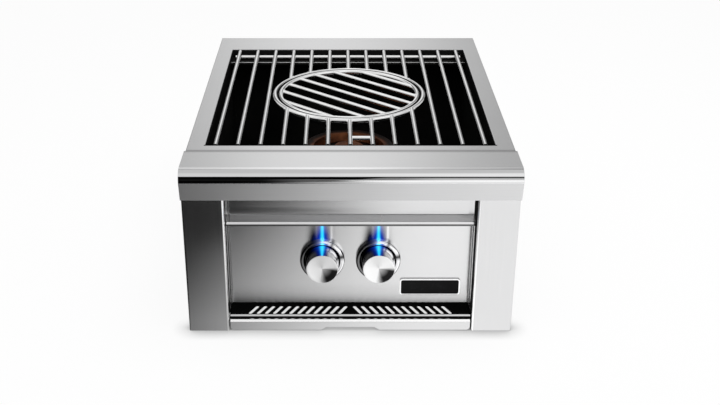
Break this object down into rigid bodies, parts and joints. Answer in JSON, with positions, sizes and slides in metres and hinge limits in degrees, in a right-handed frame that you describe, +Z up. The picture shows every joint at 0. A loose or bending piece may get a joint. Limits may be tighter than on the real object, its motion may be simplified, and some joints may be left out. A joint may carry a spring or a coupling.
{
  "type": "built-in power burner",
  "caption": "Drop-in gas power burner of brushed stainless sheet with a rod grate, a lift-out round centre grate, lit control knobs and a pull-out drip tray.",
  "frame": {"origin": "on the floor under the middle of the outline", "axes": "+Z up, the front with the knobs faces -Y, +X to the right seen from the front"},
  "size_m": [0.512, 0.668, 0.28],
  "materials": {
    "stainless": "fine linear brushed stainless sheet",
    "galvanised": "dull mill finish sheet",
    "firebox_liner": "dark heat-toned sheet",
    "grate_rod": "polished round rod",
    "burner_cast": "as-cast, dark",
    "burner_brass": "turned brass, browned by heat",
    "plain_steel": "plain formed steel",
    "valve_body": "cast and machined",
    "fitting_brass": "machined brass",
    "steel_hardware": "zinc plated",
    "igniter_ceramic": "white ceramic",
    "module_plastic": "moulded black",
    "knob_metal": "spun face and polished side",
    "bezel_chrome": "polished",
    "light_guide": "clear guide lit blue",
    "badge_black": "bare gloss black"
  },
  "bodies": {
    "chassis": {"top_frame": "stainless", "bullnose": "stainless", "left_post": "stainless", "right_post": "stainless", "drip_shelf": "stainless", "control_panel": "stainless", "vent_shelf": "stainless", "left_side_panel": "galvanised", "right_side_panel": "galvanised", "rear_panel": "galvanised", "firebox_front_wall": "firebox_liner", "firebox_rear_wall": "firebox_liner", "firebox_left_wall": "firebox_liner", "firebox_right_wall": "firebox_liner", "hopper_floor": "firebox_liner", "burner_base": "burner_cast", "outer_burner_cap": "burner_brass", "inner_burner_cap": "burner_brass", "burner_bridge": "plain_steel", "outer_mixing_tube": "plain_steel", "inner_mixing_tube": "plain_steel", "gas_manifold": "plain_steel", "gas_supply_pipe": "plain_steel", "igniter_bracket": "plain_steel", "left_gas_valve": "valve_body", "right_gas_valve": "valve_body", "left_orifice": "fitting_brass", "right_orifice": "fitting_brass", "gas_inlet_fitting": "fitting_brass", "left_return_spring": "steel_hardware", "right_return_spring": "steel_hardware", "burner_screws": "steel_hardware", "rear_panel_screws": "steel_hardware", "seam_bolts": "steel_hardware", "seam_nuts": "steel_hardware", "hot_surface_igniter": "igniter_ceramic", "power_module": "module_plastic", "power_socket": "module_plastic", "left_bezel": "bezel_chrome", "right_bezel": "bezel_chrome", "badge_rim": "bezel_chrome", "left_light_guide": "light_guide", "right_light_guide": "light_guide", "badge_plate": "badge_black"},
    "main_grate": {"main_grate": "grate_rod"},
    "centre_grate": {"centre_grate": "grate_rod"},
    "drip_tray": {"drip_tray": "stainless"},
    "left_push": {"left_thrust_washer": "steel_hardware"},
    "left_knob": {"left_knob": "knob_metal", "left_valve_stem": "steel_hardware"},
    "right_push": {"right_thrust_washer": "steel_hardware"},
    "right_knob": {"right_knob": "knob_metal", "right_valve_stem": "steel_hardware"},
    "left_shutter": {"left_air_shutter": "plain_steel"},
    "right_shutter": {"right_air_shutter": "plain_steel"}
  },
  "joints": [
    {"name": "main_grate_lift", "type": "slide", "parent": "chassis", "child": "main_grate", "axis": [0, 0, 1], "range_m": [0, 0.2]},
    {"name": "centre_grate_lift", "type": "slide", "parent": "main_grate", "child": "centre_grate", "axis": [0, 0, 1], "range_m": [0, 0.15]},
    {"name": "drip_tray_slide", "type": "slide", "parent": "chassis", "child": "drip_tray", "axis": [0, -1, 0], "range_m": [0, 0.45]},
    {"name": "left_knob_push", "type": "slide", "parent": "chassis", "child": "left_push", "axis": [0, 1, 0], "range_m": [0, 0.003], "stiffness_N_per_m": 1500, "springref_m": -0.004, "deforming": ["left_return_spring"]},
    {"name": "left_knob_turn", "type": "hinge", "parent": "left_push", "child": "left_knob", "pos_m": [-0.044, -0.3, 0.109], "axis": [0, -1, 0], "range_deg": [0, 240]},
    {"name": "left_shutter_turn", "type": "hinge", "parent": "chassis", "child": "left_shutter", "pos_m": [-0.044, -0.242, 0.109], "axis": [0, 1, 0], "range_deg": [-35, 35]},
    {"name": "right_knob_push", "type": "slide", "parent": "chassis", "child": "right_push", "axis": [0, 1, 0], "range_m": [0, 0.003], "stiffness_N_per_m": 1500, "springref_m": -0.004, "deforming": ["right_return_spring"]},
    {"name": "right_knob_turn", "type": "hinge", "parent": "right_push", "child": "right_knob", "pos_m": [0.044, -0.3, 0.109], "axis": [0, -1, 0], "range_deg": [0, 240]},
    {"name": "right_shutter_turn", "type": "hinge", "parent": "chassis", "child": "right_shutter", "pos_m": [0.044, -0.242, 0.109], "axis": [0, 1, 0], "range_deg": [-35, 35]}
  ]
}
